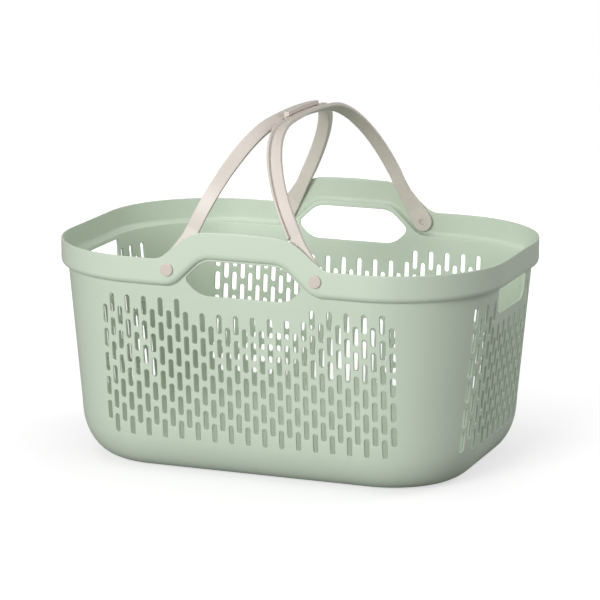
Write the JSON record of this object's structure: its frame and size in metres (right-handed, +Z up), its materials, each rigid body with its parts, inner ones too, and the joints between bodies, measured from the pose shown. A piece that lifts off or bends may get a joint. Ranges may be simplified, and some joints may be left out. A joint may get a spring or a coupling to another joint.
{
  "type": "slotted carrying basket with two bail handles",
  "caption": "Oblong slotted plastic basket with a stepped rim band, oblong hand-holds and swinging bail handles that meet over the middle.",
  "frame": {"origin": "centre of the flat base, on the surface the basket stands on", "axes": "+X along the long side, towards the right-hand handle's pivots; +Y towards the rear long wall; +Z up"},
  "size_m": [0.5786, 0.414, 0.4423],
  "materials": {
    "shell_plastic": "satin moulded polypropylene, sage green",
    "handle_plastic": "satin moulded polypropylene, warm taupe",
    "pin_plastic": "satin moulded nylon, taupe with a rosy cast"
  },
  "bodies": {
    "basket": {"basket_shell": "shell_plastic"},
    "left_bail": {"left_handle": "handle_plastic", "front_left_pin": "pin_plastic", "rear_left_pin": "pin_plastic"},
    "right_bail": {"right_handle": "handle_plastic", "front_right_pin": "pin_plastic", "rear_right_pin": "pin_plastic"}
  },
  "joints": [
    {"name": "left_handle_swing", "type": "hinge", "parent": "basket", "child": "left_bail", "pos_m": [-0.0958, 0, 0.2658], "axis": [0, -1, 0], "range_deg": [0, 111]},
    {"name": "right_handle_swing", "type": "hinge", "parent": "basket", "child": "right_bail", "pos_m": [0.0958, 0, 0.2658], "axis": [0, 1, 0], "range_deg": [0, 111]}
  ]
}
